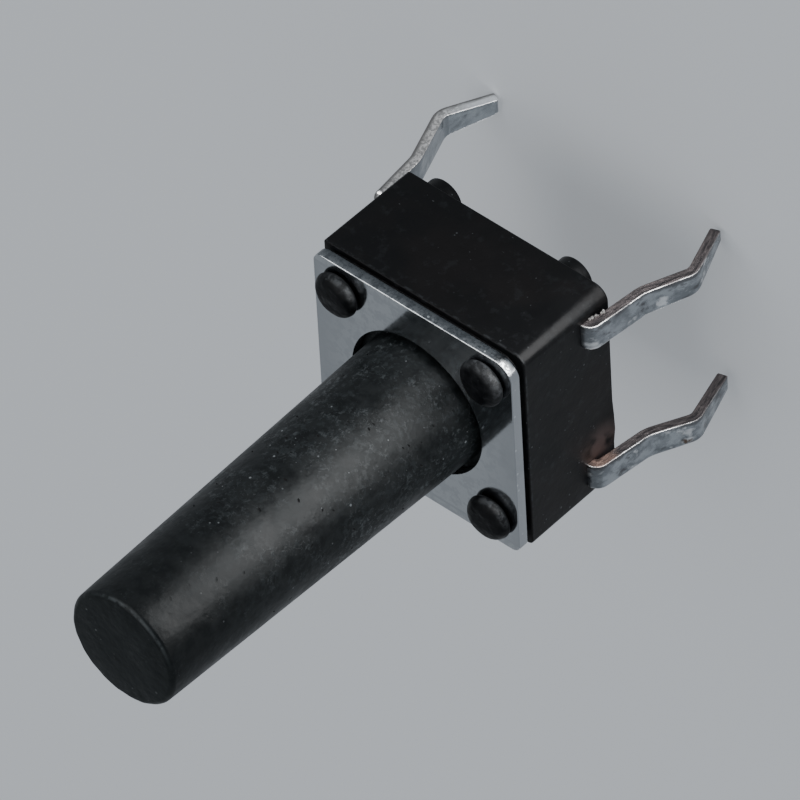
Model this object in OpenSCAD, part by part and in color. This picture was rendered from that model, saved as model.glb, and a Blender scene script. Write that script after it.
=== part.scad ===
// Tactile push button switch with a long tapered button, for a printed circuit board.
// Millimetres. +Z runs along the button, away from the board. X runs across the body
// from one pair of pins to the other, and Y runs along a pair. The origin is the middle
// of the four pins, on the face of the board that the switch sits on.

/* [Housing] */
// Width of the moulded housing, the same along X and Y
body_w = 6; // [5.6:0.1:7]
// Radius of the housing's upright edge at +X +Y, the widest of the four
body_wide_edge_r = 0.32; // [0.1:0.02:0.4]
// Radius of the other three upright edges of the housing
body_edge_r = 0.12; // [0.06:0.02:0.4]
// Height of the square block of the housing
block_h = 2.86; // [2.6:0.01:3.4]
// Height of the step that carries the cover plate
step_h = 0.11; // [0.08:0.01:0.3]
// How far the step stands in from the sides of the block
step_inset = 0.17; // [0.1:0.01:0.3]

/* [Standoffs] */
// Height of the round feet that keep the housing off the board
standoff_h = 0.33; // [0.15:0.01:0.6]
// Diameter of a foot
standoff_d = 1; // [0.8:0.05:1.1]
// Distance between two feet along X
standoff_pitch_x = 3.92; // [3.4:0.02:4.2]
// Distance between two feet along Y
standoff_pitch_y = 4.9; // [4.4:0.02:4.9]
// How far each row of feet is shifted along X, one row to each side
standoff_shift = 0.2; // [0:0.05:0.3]

/* [Cover plate] */
// Thickness of the sheet steel
cover_t = 0.3; // [0.2:0.05:0.5]
// How far the plate's edge stands in from the side of the housing
cover_inset = 0.03; // [0:0.01:0.08]
// Radius of the plate's corner at +X +Y, the widest of the four
cover_wide_corner_r = 0.5; // [0.2:0.05:0.6]
// Radius of the plate's other three corners
cover_corner_r = 0.27; // [0.15:0.01:0.6]
// Play between the button and the hole in the plate, on the radius
hole_clearance = 0.19; // [0.1:0.01:0.3]

/* [Stakes] */
// Distance between two stakes, from middle to middle
stake_pitch = 4.36; // [4.3:0.02:4.5]
// Diameter of a stake where it passes through the plate
stake_d = 0.84; // [0.7:0.02:0.9]
// Play of a stake in its hole, on the radius
stake_clearance = 0.05; // [0.02:0.01:0.1]
// Diameter of the head that is melted over the plate
head_d = 1.18; // [1.1:0.02:1.3]
// Height of the head above the plate
head_h = 0.38; // [0.3:0.01:0.6]
// Radius of the head's rim
head_edge_r = 0.17; // [0.1:0.01:0.25]

/* [Button] */
// Height of the button's end above the board
switch_h = 13.5; // [5:0.5:17]
// Diameter of the button where it leaves the cover plate
button_root_d = 3.5; // [3.2:0.02:3.6]
// Diameter of the button at its end
button_end_d = 3.06; // [2.6:0.02:3.3]
// Radius of the edge round the button's end
button_edge_r = 0.14; // [0.05:0.01:0.3]
// How far the flange reaches past the hole in the plate, on the radius
flange_lip = 0.28; // [0.15:0.01:0.3]
// Thickness of the flange under the plate
flange_t = 0.7; // [0.4:0.05:0.9]
// Diameter of the foot that presses the contact dome
foot_d = 1.6; // [1.2:0.1:2]
// Play between the button and what it bears on, along Z
button_play = 0.02; // [0.01:0.01:0.04]

/* [Contacts] */
// Thickness of the sheet the terminals are stamped from
strip_t = 0.25; // [0.2:0.05:0.35]
// Width of a pin
pin_w = 0.7; // [0.5:0.05:0.8]
// Distance between two pins on the same side of the body
pin_pitch_y = 4.5; // [4.3:0.05:4.6]
// Thickness of the moulding under the terminals
floor_t = 0.7; // [0.5:0.05:0.8]
// Height of the contact pads above their strip
pad_h = 0.1; // [0.05:0.01:0.2]
// Diameter of the middle contact pad
pad_d = 1; // [0.8:0.1:1.4]
// Thickness of the contact dome
dome_t = 0.07; // [0.05:0.01:0.1]
// Rise of the contact dome, which is a little more than the button's travel
dome_rise = 0.35; // [0.3:0.01:0.4]
// Play of the contact dome in its cup, on the radius
dome_clearance = 0.12; // [0.05:0.01:0.2]
// Play of the flange in the cup, on the radius
cup_clearance = 0.12; // [0.08:0.01:0.2]

/* [Pins] */
// Distance from the side of the body to the middle of a pin, at the board
pin_standout = 0.25; // [0.22:0.01:0.4]
// Lean of a pin away from the body
pin_lean_deg = 6; // [3:0.1:7]
// Depth below the board at which a pin turns outwards
kink_start = 0.38; // [0.2:0.02:0.8]
// How far the kink goes outwards
kink_out = 0.63; // [0.3:0.01:0.8]
// Height that the outward run of the kink takes
kink_drop = 1.24; // [0.9:0.02:1.6]
// How far the end of a pin comes back inwards
tip_in = 0.52; // [0.2:0.01:0.8]
// Height that the inward run takes
tip_drop = 1.4; // [0.9:0.02:1.8]
// Width of a pin at its end, which is cut in towards -Y from where the kink turns back
pin_end_w = 0.42; // [0.3:0.02:0.7]
// Bend radius along the middle of the sheet, where a pin leaves its strip
bend_r = 0.2; // [0.18:0.01:0.3]
// Bend radius where the kink starts
kink_bend_r = 0.85; // [0.2:0.05:1.2]
// Bend radius where the kink turns back
tip_bend_r = 0.3; // [0.18:0.01:0.5]

/* [Hidden] */
$fn = 64;
fine_fn = 720;
bend_steps = 5;
half_w = body_w / 2;
// Levels above the board
block_bottom_z = standoff_h;
block_top_z = block_bottom_z + block_h;
cover_bottom_z = block_top_z + step_h;
cover_top_z = cover_bottom_z + cover_t;
strip_bottom_z = block_bottom_z + floor_t;
strip_top_z = strip_bottom_z + strip_t;
cup_floor_z = strip_top_z + pad_h;
dome_top_z = cup_floor_z + dome_rise + dome_t;
flange_top_z = cover_bottom_z - button_play;
flange_bottom_z = flange_top_z - flange_t;
foot_bottom_z = dome_top_z + button_play;
// Sizes that follow from the fits
hole_r = button_root_d / 2 + hole_clearance;
flange_r = hole_r + flange_lip;
cup_r = flange_r + cup_clearance;
dome_r = cup_r - dome_clearance;
cover_w = body_w - 2 * cover_inset;
step_w = body_w - 2 * step_inset;
pin_y = pin_pitch_y / 2;
tongue_w = pin_w;
// The outer pad lies under the rim of the contact dome
outer_pad_w = 1.1;
outer_pad_reach = 0.35;

// Square in the middle of the plane, with true arcs at its corners. The corner at +X +Y
// has a radius of its own.
module rounded_square(w, r, wide_r) {
    h = w / 2;
    polygon([
        [h, r - h],
        [h, h - wide_r],
        [h - wide_r, h],
        [r - h, h],
        [-h, h - r],
        [-h, r - h],
        [r - h, -h],
        [h - r, -h]
    ]);
    translate([h - wide_r, h - wide_r]) circle(wide_r);
    for (corner = [[-1, 1], [-1, -1], [1, -1]])
        translate((h - r) * corner) circle(r);
}

// Repeats its children at the corners of a rectangle with the given sides.
module at_corners(pitch_x, pitch_y) {
    for (x = [-1, 1], y = [-1, 1])
        translate([x * pitch_x / 2, y * pitch_y / 2, 0]) children();
}

// Stake with its melted head, standing on the step and closed over the plate.
module stake() {
    translate([0, 0, cover_bottom_z]) cylinder(d = stake_d, h = cover_t);
    translate([0, 0, cover_top_z]) rotate_extrude() {
        square([head_d / 2, head_h - head_edge_r]);
        square([head_d / 2 - head_edge_r, head_h]);
        intersection() {
            translate([head_d / 2 - head_edge_r, head_h - head_edge_r]) circle(head_edge_r);
            square([head_d / 2, head_h]);
        }
    }
}

// Round foot under the housing. The row at each end is shifted the opposite way.
module standoffs() {
    for (x = [-1, 1], y = [-1, 1])
        translate([x * standoff_pitch_x / 2 - y * standoff_shift, y * standoff_pitch_y / 2, 0])
            cylinder(d = standoff_d, h = standoff_h);
}

// Moulded housing: block, step, stakes and feet, with the cup that holds the contacts.
module base() {
    color([0.045, 0.047, 0.052])
    difference() {
        union() {
            translate([0, 0, block_bottom_z]) linear_extrude(block_h)
                rounded_square(body_w, body_edge_r, body_wide_edge_r);
            translate([0, 0, block_top_z]) linear_extrude(step_h)
                rounded_square(step_w, cover_corner_r, cover_wide_corner_r);
            at_corners(stake_pitch, stake_pitch) stake();
            standoffs();
        }
        translate([0, 0, cup_floor_z]) cylinder(r = cup_r, h = cover_bottom_z - cup_floor_z);
        outer_terminal_shape();
        middle_terminal_shape();
    }
}

// Stamped steel plate that keeps the button in, held by the four stakes.
module cover_plate() {
    color([0.78, 0.8, 0.83])
    translate([0, 0, cover_bottom_z]) linear_extrude(cover_t) difference() {
        rounded_square(cover_w, cover_corner_r, cover_wide_corner_r);
        circle(hole_r);
        at_corners(stake_pitch, stake_pitch) circle(stake_d / 2 + stake_clearance);
    }
}

// Outline of the tapered stem from the plate to its end, to be turned round Z.
// The rim is a circle that touches both the flat end and the sloping side.
module stem_outline() {
    height = switch_h - cover_top_z;
    slope = (button_root_d - button_end_d) / 2 / height;
    lean = sqrt(1 + slope * slope);
    rim_x = button_end_d / 2 + button_edge_r * (slope - lean);
    rim_z = height - button_edge_r;
    polygon([
        [0, 0],
        [button_root_d / 2, 0],
        [rim_x + button_edge_r / lean, rim_z + button_edge_r * slope / lean],
        [rim_x, rim_z],
        [rim_x, height],
        [0, height]
    ]);
    translate([rim_x, rim_z]) circle(button_edge_r);
}

// Button: tapered stem, straight neck in the plate's hole, flange under it, and foot.
module button() {
    color([0.12, 0.125, 0.13]) {
        translate([0, 0, cover_top_z]) rotate_extrude() stem_outline();
        translate([0, 0, flange_top_z]) cylinder(d = button_root_d, h = cover_top_z - flange_top_z);
        translate([0, 0, flange_bottom_z]) cylinder(r = flange_r, h = flange_t);
        translate([0, 0, foot_bottom_z]) cylinder(d = foot_d, h = flange_bottom_z - foot_bottom_z);
    }
}

// Snap disc: the cap of a hollow sphere, standing on the cup's floor on its rim.
module contact_dome() {
    rise = dome_rise + dome_t;
    sphere_r = (dome_r * dome_r + rise * rise) / (2 * rise);
    color([0.8, 0.76, 0.66])
    translate([0, 0, cup_floor_z]) rotate_extrude() intersection() {
        translate([0, rise - sphere_r]) difference() {
            circle(sphere_r, $fn = fine_fn);
            circle(sphere_r - dome_t, $fn = fine_fn);
        }
        square([sphere_r, rise + dome_t]);
    }
}

function unit(v) = v / norm(v);
function left_of(v) = [-v[1], v[0]];
function turned(v, a) = [v[0] * cos(a) - v[1] * sin(a), v[0] * sin(a) + v[1] * cos(a)];

// Points on the arc of radius r that rounds the corner at b, between a and c.
function corner_arc(a, b, c, r) =
    let (
        into = unit(b - a),
        out = unit(c - b),
        side = sign(into[0] * out[1] - into[1] * out[0]),
        turn = acos(into * out),
        start = b - into * r * tan(turn / 2),
        middle = start + left_of(into) * side * r
    )
    [for (i = [0:bend_steps]) middle + turned(start - middle, side * turn * i / bend_steps)];

// Path with every inner corner rounded, each by its own radius.
function rounded_path(p, r) = [
    p[0],
    for (i = [1:len(p) - 2]) each corner_arc(p[i - 1], p[i], p[i + 1], r[i]),
    p[len(p) - 1]
];

// Step sideways at point i of a path that keeps both faces of the sheet parallel.
function side_step(p, i) =
    let (
        before = unit(p[max(i, 1)] - p[max(i, 1) - 1]),
        after = unit(p[min(i, len(p) - 2) + 1] - p[min(i, len(p) - 2)])
    )
    (left_of(before) + left_of(after)) / (1 + before * after);

// Outline of a sheet of thickness t that follows a path.
function sheet_outline(p, t) = concat(
    [for (i = [0:len(p) - 1]) p[i] + side_step(p, i) * t / 2],
    [for (i = [len(p) - 1:-1:0]) p[i] - side_step(p, i) * t / 2]
);

// Middle of the sheet on the +X side in X and Z, from the strip down to the pin's end.
function pin_path() =
    let (
        board_x = half_w + pin_standout,
        strip_z = strip_bottom_z + strip_t / 2,
        kink_x = board_x + kink_start * tan(pin_lean_deg)
    ) [
        [board_x - strip_z * tan(pin_lean_deg), strip_z],
        [kink_x, -kink_start],
        [kink_x + kink_out, -kink_start - kink_drop],
        [kink_x + kink_out - tip_in, -kink_start - kink_drop - tip_drop]
    ];

// Strip that crosses the housing, with a kinked pin at each end.
module strip_with_pins() {
    right = pin_path();
    left = [for (i = [len(right) - 1:-1:0]) [-right[i][0], right[i][1]]];
    bends = [0, tip_bend_r, kink_bend_r, bend_r, bend_r, kink_bend_r, tip_bend_r, 0];
    difference() {
        translate([0, pin_w / 2, 0]) rotate([90, 0, 0]) linear_extrude(pin_w)
            polygon(sheet_outline(rounded_path(concat(left, right), bends), strip_t));
        pin_end_cut(right[2][1], right[3][1], right[2][0] + strip_t);
    }
}

// Wedge that narrows the ends of both pins between two heights, out to a reach along X.
module pin_end_cut(top_z, end_z, reach) {
    end_y = pin_end_w - pin_w / 2;
    rotate([90, 0, 90]) translate([0, 0, -reach]) linear_extrude(2 * reach) polygon([
        [-pin_w, top_z],
        [-pin_w / 2, top_z],
        [end_y, end_z],
        [end_y, end_z - strip_t],
        [-pin_w, end_z - strip_t]
    ]);
}

// Terminal whose pad meets the rim of the contact dome all the time.
module outer_terminal_shape() {
    translate([0, pin_y, 0]) strip_with_pins();
    translate([-outer_pad_w / 2, pin_y - pin_w / 2, strip_top_z]) cube([outer_pad_w, outer_pad_reach, pad_h]);
}

// Terminal whose tongue ends in the pad that the middle of the dome snaps down on.
module middle_terminal_shape() {
    translate([0, -pin_y, 0]) strip_with_pins();
    translate([-tongue_w / 2, -pin_y, strip_bottom_z]) cube([tongue_w, pin_y, strip_t]);
    translate([0, 0, strip_bottom_z]) cylinder(d = pad_d, h = strip_t + pad_h);
}

module outer_terminal() {
    color([0.66, 0.64, 0.62]) outer_terminal_shape();
}

module middle_terminal() {
    color([0.66, 0.64, 0.62]) middle_terminal_shape();
}

base();
cover_plate();
button();
contact_dome();
outer_terminal();
middle_terminal();
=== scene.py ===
"""Tactile push button switch, dressed for a plain studio.

A moulded housing carries a staked steel cover, a long tapered button, a snap disc and two
stamped terminals with kinked pins. Lengths in the classes are millimetres in the frame of the
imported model: +Z runs along the button, X runs from one pair of pins to the other, and the face
of the circuit board is z = 0.
"""

import sys
import logging
import math
from dataclasses import dataclass, field
from enum import Enum
from functools import partial, reduce

import bpy
import numpy as np
from mathutils import Matrix, Vector
from mathutils.geometry import tessellate_polygon


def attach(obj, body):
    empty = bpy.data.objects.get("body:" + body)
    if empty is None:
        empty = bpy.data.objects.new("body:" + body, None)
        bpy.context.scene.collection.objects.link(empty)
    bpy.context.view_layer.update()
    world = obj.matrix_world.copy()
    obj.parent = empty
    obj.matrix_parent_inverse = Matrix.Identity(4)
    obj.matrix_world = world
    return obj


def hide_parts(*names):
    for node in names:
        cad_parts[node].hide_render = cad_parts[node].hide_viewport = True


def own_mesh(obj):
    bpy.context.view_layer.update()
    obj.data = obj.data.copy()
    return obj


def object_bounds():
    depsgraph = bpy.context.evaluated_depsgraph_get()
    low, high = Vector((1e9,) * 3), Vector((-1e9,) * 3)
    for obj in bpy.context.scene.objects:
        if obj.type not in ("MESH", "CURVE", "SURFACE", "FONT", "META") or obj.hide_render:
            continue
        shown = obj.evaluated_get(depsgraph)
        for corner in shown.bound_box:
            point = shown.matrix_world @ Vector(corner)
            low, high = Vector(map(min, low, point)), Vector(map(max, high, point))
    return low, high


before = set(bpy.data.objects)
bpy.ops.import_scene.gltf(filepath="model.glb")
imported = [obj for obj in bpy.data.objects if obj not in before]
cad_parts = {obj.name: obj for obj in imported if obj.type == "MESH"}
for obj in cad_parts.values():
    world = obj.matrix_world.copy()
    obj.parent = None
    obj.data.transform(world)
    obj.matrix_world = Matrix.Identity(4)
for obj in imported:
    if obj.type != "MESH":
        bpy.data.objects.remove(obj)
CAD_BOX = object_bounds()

log = logging.getLogger("push_button_switch")

MM = 0.001
# Signs of X and Y at the four corners of the body
CORNERS = ((-1, -1), (-1, 1), (1, -1), (1, 1))
Point = tuple[float, float, float]
Colour = tuple[float, float, float]
Radii = tuple[float, float, float, float]
Socket = bpy.types.NodeSocket
Value = Socket | float | Colour
Material = bpy.types.Material
Piece = bpy.types.Object


class Body(Enum):
    """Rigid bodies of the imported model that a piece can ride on."""

    HOUSING = "housing"
    BUTTON = "button"


# ---------------------------------------------------------------------------------------
# Surfaces
# ---------------------------------------------------------------------------------------


@dataclass
class Surface:
    """Closed surface in millimetres, with one number per point for each named mark."""

    points: np.ndarray
    quads: np.ndarray
    triangles: np.ndarray
    marks: dict[str, np.ndarray] = field(default_factory=dict)

    def outward(self) -> "Surface":
        """Turns the faces out of the material.

        Its volume is the sum of the signed tetrahedra between the origin and each face, and a
        negative one means that the faces point inwards.

        Returns:
            The surface itself.
        """
        corners = np.concatenate([self.triangles, self.quads[:, [0, 1, 2]], self.quads[:, [0, 2, 3]]])
        a, b, c = (self.points[corners[:, i]] for i in range(3))
        if np.einsum("ij,ij->", a, np.cross(b, c)) < 0:
            self.quads, self.triangles = self.quads[:, ::-1], self.triangles[:, ::-1]
        return self

    def moved(self, x: float, y: float, z: float = 0.0) -> "Surface":
        """Returns a copy shifted by x, y and z."""
        return Surface(self.points + [x, y, z], self.quads, self.triangles, dict(self.marks))

    def to_piece(self, name: str, material: Material, crease_deg: float = 38.0) -> Piece:
        """Makes the object, smooth but for creases sharper than a given angle.

        Args:
            name: Name of the object and its mesh.
            material: Material of every face.
            crease_deg: Angle between two faces past which their edge stays sharp.

        Returns:
            The object, at the origin and in metres.
        """
        mesh = bpy.data.meshes.new(name)
        mesh.from_pydata((self.points * MM).tolist(), [], self.quads.tolist() + self.triangles.tolist())
        for mark, values in self.marks.items():
            mesh.attributes.new(mark, "FLOAT", "POINT").data.foreach_set("value", values.astype(np.float32))
        mesh.shade_smooth()
        mesh.set_sharp_from_angle(angle=math.radians(crease_deg))
        mesh.materials.append(material)
        piece = bpy.data.objects.new(name, mesh)
        bpy.context.scene.collection.objects.link(piece)
        log.info("%s: %d points, %d faces", name, len(mesh.vertices), len(mesh.polygons))
        return piece


def joined(parts: list[Surface]) -> Surface:
    """Puts closed surfaces side by side in one, with 0 where a part lacks a mark.

    Args:
        parts: Closed surfaces, each already facing outwards.

    Returns:
        One surface with the points of all.
    """
    starts = np.cumsum([0] + [len(p.points) for p in parts])
    names = {name for p in parts for name in p.marks}
    return Surface(
        np.concatenate([p.points for p in parts]),
        np.concatenate([p.quads + s for p, s in zip(parts, starts)]),
        np.concatenate([p.triangles + s for p, s in zip(parts, starts)]),
        {n: np.concatenate([p.marks.get(n, np.zeros(len(p.points))) for p in parts]) for n in names},
    )


def ring_quads(rows: int, columns: int) -> np.ndarray:
    """Quads between neighbouring rows of a grid whose columns close on themselves.

    Args:
        rows: Number of rings.
        columns: Points in each ring.

    Returns:
        Point numbers of the quads, four to a row.
    """
    r, c = np.meshgrid(np.arange(rows - 1), np.arange(columns), indexing="ij")
    n = (c + 1) % columns
    corners = [r * columns + c, r * columns + n, (r + 1) * columns + n, (r + 1) * columns + c]
    return np.stack(corners, axis=-1).reshape(-1, 4)


def lofted(rings: np.ndarray, marks: dict[str, np.ndarray] | None = None) -> Surface:
    """Skin over a stack of rings, closed at both ends by a fan to the ring's middle.

    Args:
        rings: Array of m rings of n points, shaped (m, n, 3).
        marks: Values shaped (m, n) for each mark.

    Returns:
        The closed surface, facing outwards.
    """
    rows, columns = rings.shape[:2]
    points = np.concatenate([rings.reshape(-1, 3), rings[:1].mean(1), rings[-1:].mean(1)])
    here = np.arange(columns)
    after = (here + 1) % columns
    last = (rows - 1) * columns
    first_fan = np.stack([after, here, np.full(columns, rows * columns)], axis=-1)
    last_fan = np.stack([here + last, after + last, np.full(columns, rows * columns + 1)], axis=-1)
    spread = {
        name: np.concatenate([v.reshape(-1), [v[0].mean(), v[-1].mean()]])
        for name, v in (marks or {}).items()
    }
    return Surface(points, ring_quads(rows, columns), np.concatenate([first_fan, last_fan]), spread).outward()


def angles(count: int) -> np.ndarray:
    """Equal angles once round, in radians."""
    return np.linspace(0, 2 * np.pi, count, endpoint=False)


def circle(count: int) -> np.ndarray:
    """Points of the unit circle at equal angles, shaped (count, 2)."""
    return np.column_stack([np.cos(angles(count)), np.sin(angles(count))])


def off(angle: np.ndarray, towards: float) -> np.ndarray:
    """Angles counted from a direction, between minus and plus half a turn."""
    return np.mod(angle - towards + np.pi, 2 * np.pi) - np.pi


def turned(profile: np.ndarray, segments: int) -> np.ndarray:
    """Rings of a surface of revolution: point (r, z) goes to (r cos t, r sin t, z) for every angle t.

    Args:
        profile: Radius and height of each ring, shaped (m, 2).
        segments: Number of angles round the axis.

    Returns:
        Rings shaped (m, segments, 3).
    """
    flat = profile[:, :1, None] * circle(segments)
    height = np.broadcast_to(profile[:, 1:, None], (*flat.shape[:2], 1))
    return np.concatenate([flat, height], axis=-1)


def rounded(corners: list[Point], steps: int = 5) -> np.ndarray:
    """Open outline with rounded corners.

    At each corner the circle of its radius that touches both sides replaces the point: it is
    walked in equal angles from one touching point to the other.

    Args:
        corners: Two coordinates and a radius for each corner, 0 for a sharp one.
        steps: Equal parts of each arc.

    Returns:
        The outline's points, shaped (n, 2).
    """
    out: list[np.ndarray] = []
    spots = np.array([c[:2] for c in corners], float)
    for i, (_, _, radius) in enumerate(corners):
        if radius <= 0 or i in (0, len(corners) - 1):
            out.append(spots[i : i + 1])
            continue
        into = (spots[i] - spots[i - 1]) / np.linalg.norm(spots[i] - spots[i - 1])
        away = (spots[i + 1] - spots[i]) / np.linalg.norm(spots[i + 1] - spots[i])
        side = np.sign(into[0] * away[1] - into[1] * away[0])
        turn = math.acos(float(np.clip(into @ away, -1, 1)))
        start = spots[i] - into * radius * math.tan(turn / 2)
        middle = start + side * radius * np.array([-into[1], into[0]])
        angle = side * turn * np.linspace(0, 1, steps + 1)[:, None]
        arm = start - middle
        out.append(middle + np.cos(angle) * arm + np.sin(angle) * np.array([-arm[1], arm[0]]))
    return np.concatenate(out)


def square_ring(
    half: float, radii: np.ndarray | float, arc_steps: int = 8, side_steps: int = 12
) -> np.ndarray:
    """Square with rounded corners, anticlockwise: four arcs joined by evenly divided sides.

    Each corner and the side after it are laid out at +X +Y, then turned by quarter turns into
    their place.

    Args:
        half: Half of the square's width.
        radii: Radius of all corners, or of each in turn, from +X +Y over -X +Y round to +X -Y.
        arc_steps: Equal parts of each arc.
        side_steps: Equal parts of each side.

    Returns:
        Points shaped (4 * (arc_steps + side_steps), 2).
    """
    around = np.broadcast_to(radii, 4)
    angle = np.linspace(0, np.pi / 2, arc_steps + 1)
    bend = np.stack([np.cos(angle), np.sin(angle)], axis=-1)
    share = np.linspace(0, 1, side_steps + 1)[1:-1, None]
    quarter_turn = np.array([[0, 1], [-1, 0]])
    quarters = []
    for k, (radius, following) in enumerate(zip(around, np.roll(around, -1))):
        arc = (half - radius) + radius * bend
        side = np.array([half - radius, half]) + share * np.array([radius + following - 2 * half, 0])
        quarters.append(np.concatenate([arc, side]) @ np.linalg.matrix_power(quarter_turn, k))
    return np.concatenate(quarters)


def at_height(ring: np.ndarray, z: float) -> np.ndarray:
    """Puts a flat ring at height z and returns it shaped (n, 3)."""
    return np.column_stack([ring, np.full(len(ring), z)])


def bell(value: np.ndarray | float, middle: float, width: float, power: int = 2) -> np.ndarray | float:
    """1 at a middle and 1/e at a width from it: e to the minus of the distance in widths to a power."""
    return np.exp(-(((value - middle) / width) ** power))


# ---------------------------------------------------------------------------------------
# Finishes
# ---------------------------------------------------------------------------------------


def add_node(
    tree: bpy.types.NodeTree, kind: str, inputs: dict[str | int, Value] | None = None, **choices: str
) -> bpy.types.Node:
    """Adds a node to a material or world.

    Args:
        tree: Its nodes.
        kind: Type of the node, without the word before it.
        inputs: A socket to link or a value to set for each input, by name or number.
        choices: What the node's menus and text fields say.

    Returns:
        The node.
    """
    node = tree.nodes.new("ShaderNode" + kind)
    for choice, words in choices.items():
        setattr(node, choice, words)
    for slot, value in (inputs or {}).items():
        feed(node.inputs[slot], value)
    return node


def feed(socket: Socket, value: Value) -> None:
    """Links an input to another socket, or sets its plain value.

    Args:
        socket: The input.
        value: Output to link, number, colour or triple of numbers.
    """
    if isinstance(value, Socket):
        socket.id_data.links.new(value, socket)
    else:
        socket.default_value = (*value, 1.0) if socket.type == "RGBA" else value


class Shade:
    """Writes one material's nodes. Patterns read Object coordinates, counted in millimetres."""

    def __init__(self, name: str) -> None:
        """Starts a material with a plain surface shader.

        Args:
            name: Name of the material.
        """
        self.material = bpy.data.materials.new(name)
        self.material.use_nodes = True
        self.tree = self.material.node_tree
        self.spot = self.add("TexCoord", "Object")
        self.plain = self.place((1.0, 1.0, 1.0))

    def add(self, kind: str, output: str | int, inputs: dict | None = None, **choices: str) -> Socket:
        """Adds a node as add_node does and returns one of its outputs."""
        return add_node(self.tree, kind, inputs, **choices).outputs[output]

    def set(self, **values: Value) -> None:
        """Links or sets the shader's inputs, with _ for a space in an input's name."""
        for name, value in values.items():
            feed(self.tree.nodes["Principled BSDF"].inputs[name.replace("_", " ")], value)

    def place(self, stretch: Point, turn_deg: Point = (0.0, 0.0, 0.0)) -> Socket:
        """Object coordinates in millimetres, turned and then stretched along each axis."""
        inputs = {"Scale": [MM / s for s in stretch], "Rotation": [math.radians(t) for t in turn_deg]}
        return self.add("Mapping", 0, inputs | {"Vector": self.spot}, vector_type="TEXTURE")

    def height_mm(self) -> Socket:
        """Height above the board in millimetres."""
        return self.add("SeparateXYZ", "Z", {0: self.plain})

    def mark(self, name: str) -> Socket:
        """A piece's own number per point."""
        return self.add("Attribute", "Fac", attribute_name=name)

    def carried(self, *stretch: float) -> Socket:
        """A strip's own coordinates, along its path, through its sheet and across it, each stretched."""
        axes = enumerate(zip(("along", "through", "across"), stretch))
        return self.add("CombineXYZ", 0, {i: self.masked(self.mark(name), s) for i, (name, s) in axes})

    def noise(
        self, per_mm: float, detail: float = 2.0, roughness: float = 0.5, where: Socket | None = None
    ) -> Socket:
        """Cloudy noise between about 0.3 and 0.7, with a number of lumps for each millimetre."""
        inputs = {"Scale": per_mm, "Detail": detail, "Roughness": roughness, "Vector": where or self.plain}
        return self.add("TexNoise", "Fac", inputs)

    def calc(self, operation: str, a: Value, b: Value = 0.0) -> Socket:
        """Result of a Math node."""
        return self.add("Math", 0, {0: a, 1: b}, operation=operation)

    def masked(self, *shares: Value) -> Socket:
        """Product of several masks."""
        return reduce(partial(self.calc, "MULTIPLY"), shares)

    def either(self, *masks: Value) -> Socket:
        """Highest of several masks."""
        return reduce(partial(self.calc, "MAXIMUM"), masks)

    def ramp(
        self, value: Socket, low: float, high: float, to_low: float = 0.0, to_high: float = 1.0
    ) -> Socket:
        """Smooth step that carries low..high to to_low..to_high and stays there outside."""
        ends = {"From Min": low, "From Max": high, "To Min": to_low, "To Max": to_high}
        return self.add("MapRange", "Result", ends | {"Value": value}, interpolation_type="SMOOTHSTEP")

    def patches(
        self, per_mm: float, low: float, high: float, detail: float = 2.0, roughness: float = 0.5
    ) -> Socket:
        """Soft patches: 0 where a noise is under a low level and 1 where it is over a high one."""
        return self.ramp(self.noise(per_mm, detail, roughness), low, high)

    def tint(self, share: Value, a: Value, b: Value) -> Socket:
        """Colour a, going over to colour b as the share goes from 0 to 1."""
        return self.add("Mix", 2, {0: share, 6: a, 7: b}, data_type="RGBA")

    def between(self, share: Value, a: Value, b: Value) -> Socket:
        """Number a, going over to number b as the share goes from 0 to 1."""
        return self.add("Mix", 0, {0: share, 2: a, 3: b}, data_type="FLOAT")

    def coated(self, base: Value, *coats: tuple[Value, Value]) -> Socket:
        """A colour under coats, each of them a mask and the colour that it brings where it is 1."""
        return reduce(lambda under, coat: self.tint(coat[0], under, coat[1]), coats, base)

    def levelled(self, base: Value, *levels: tuple[Value, Value]) -> Socket:
        """A number under others, each with a mask that brings it where the mask is 1."""
        return reduce(lambda under, level: self.between(level[0], under, level[1]), levels, base)

    def relief(self, *layers: tuple[Socket, float]) -> Socket:
        """Bumps on bumps, each a height between 0 and 1 with its depth in millimetres.

        Args:
            layers: The heights and depths, the lowest layer first.

        Returns:
            The surface's direction.
        """
        bumped: dict[str, Value] = {}
        for height, depth_mm in layers:
            inputs = {"Height": height, "Distance": depth_mm * MM}
            bumped = {"Normal": self.add("Bump", "Normal", inputs | bumped)}
        return bumped["Normal"]

    def close_to(self, spot: Point, inner: float, outer: float, ragged: float = 0.0) -> Socket:
        """1 nearer than an inner distance to a spot and 0 past an outer one, with a ragged outline.

        Args:
            spot: Middle of the patch in millimetres.
            inner: Distance at which it starts to fade.
            outer: Distance at which it has gone.
            ragged: How far, in millimetres, noise moves the outline in and out altogether.

        Returns:
            The mask.
        """
        distance = self.add("VectorMath", "Value", {0: self.plain, 1: spot}, operation="DISTANCE")
        level = self.calc("SUBTRACT", self.noise(7.0, 3.0, 0.6), 0.5)
        return self.ramp(self.calc("ADD", distance, self.masked(level, 2.5 * ragged)), inner, outer, 1.0, 0.0)

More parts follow.
